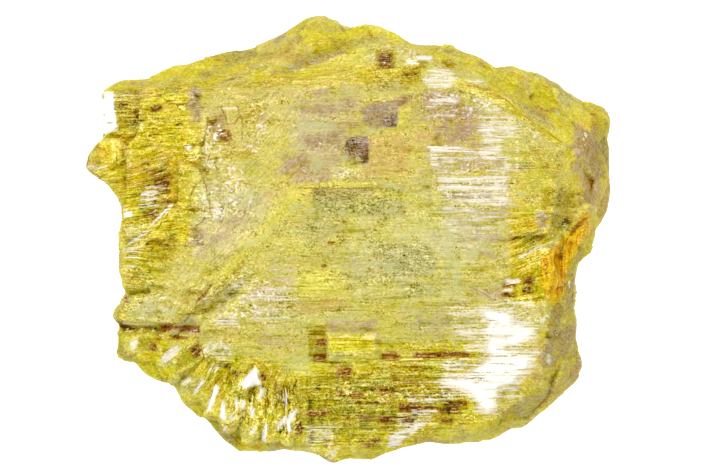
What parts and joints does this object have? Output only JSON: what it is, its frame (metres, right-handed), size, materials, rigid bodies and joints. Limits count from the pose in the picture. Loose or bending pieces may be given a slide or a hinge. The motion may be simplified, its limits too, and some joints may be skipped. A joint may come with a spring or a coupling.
{
  "type": "orpiment specimen",
  "caption": "Hand-sized chunk of foliated golden-yellow mineral with a broad striated cleavage face, splintered ends and matte broken sides.",
  "frame": {"origin": "on the surface that the specimen rests on, under the middle of its box", "axes": "+X along the striations of the cleavage face, which is the longest way; +Y across them, towards the upper edge; +Z out of the cleavage face, which looks up"},
  "size_m": [0.0798, 0.0672, 0.0332],
  "materials": {
    "orpiment": "pearly to resinous on the cleavage face, matte and earthy on the broken sides"
  },
  "bodies": {
    "root": {"orpiment": "orpiment"}
  },
  "joints": []
}
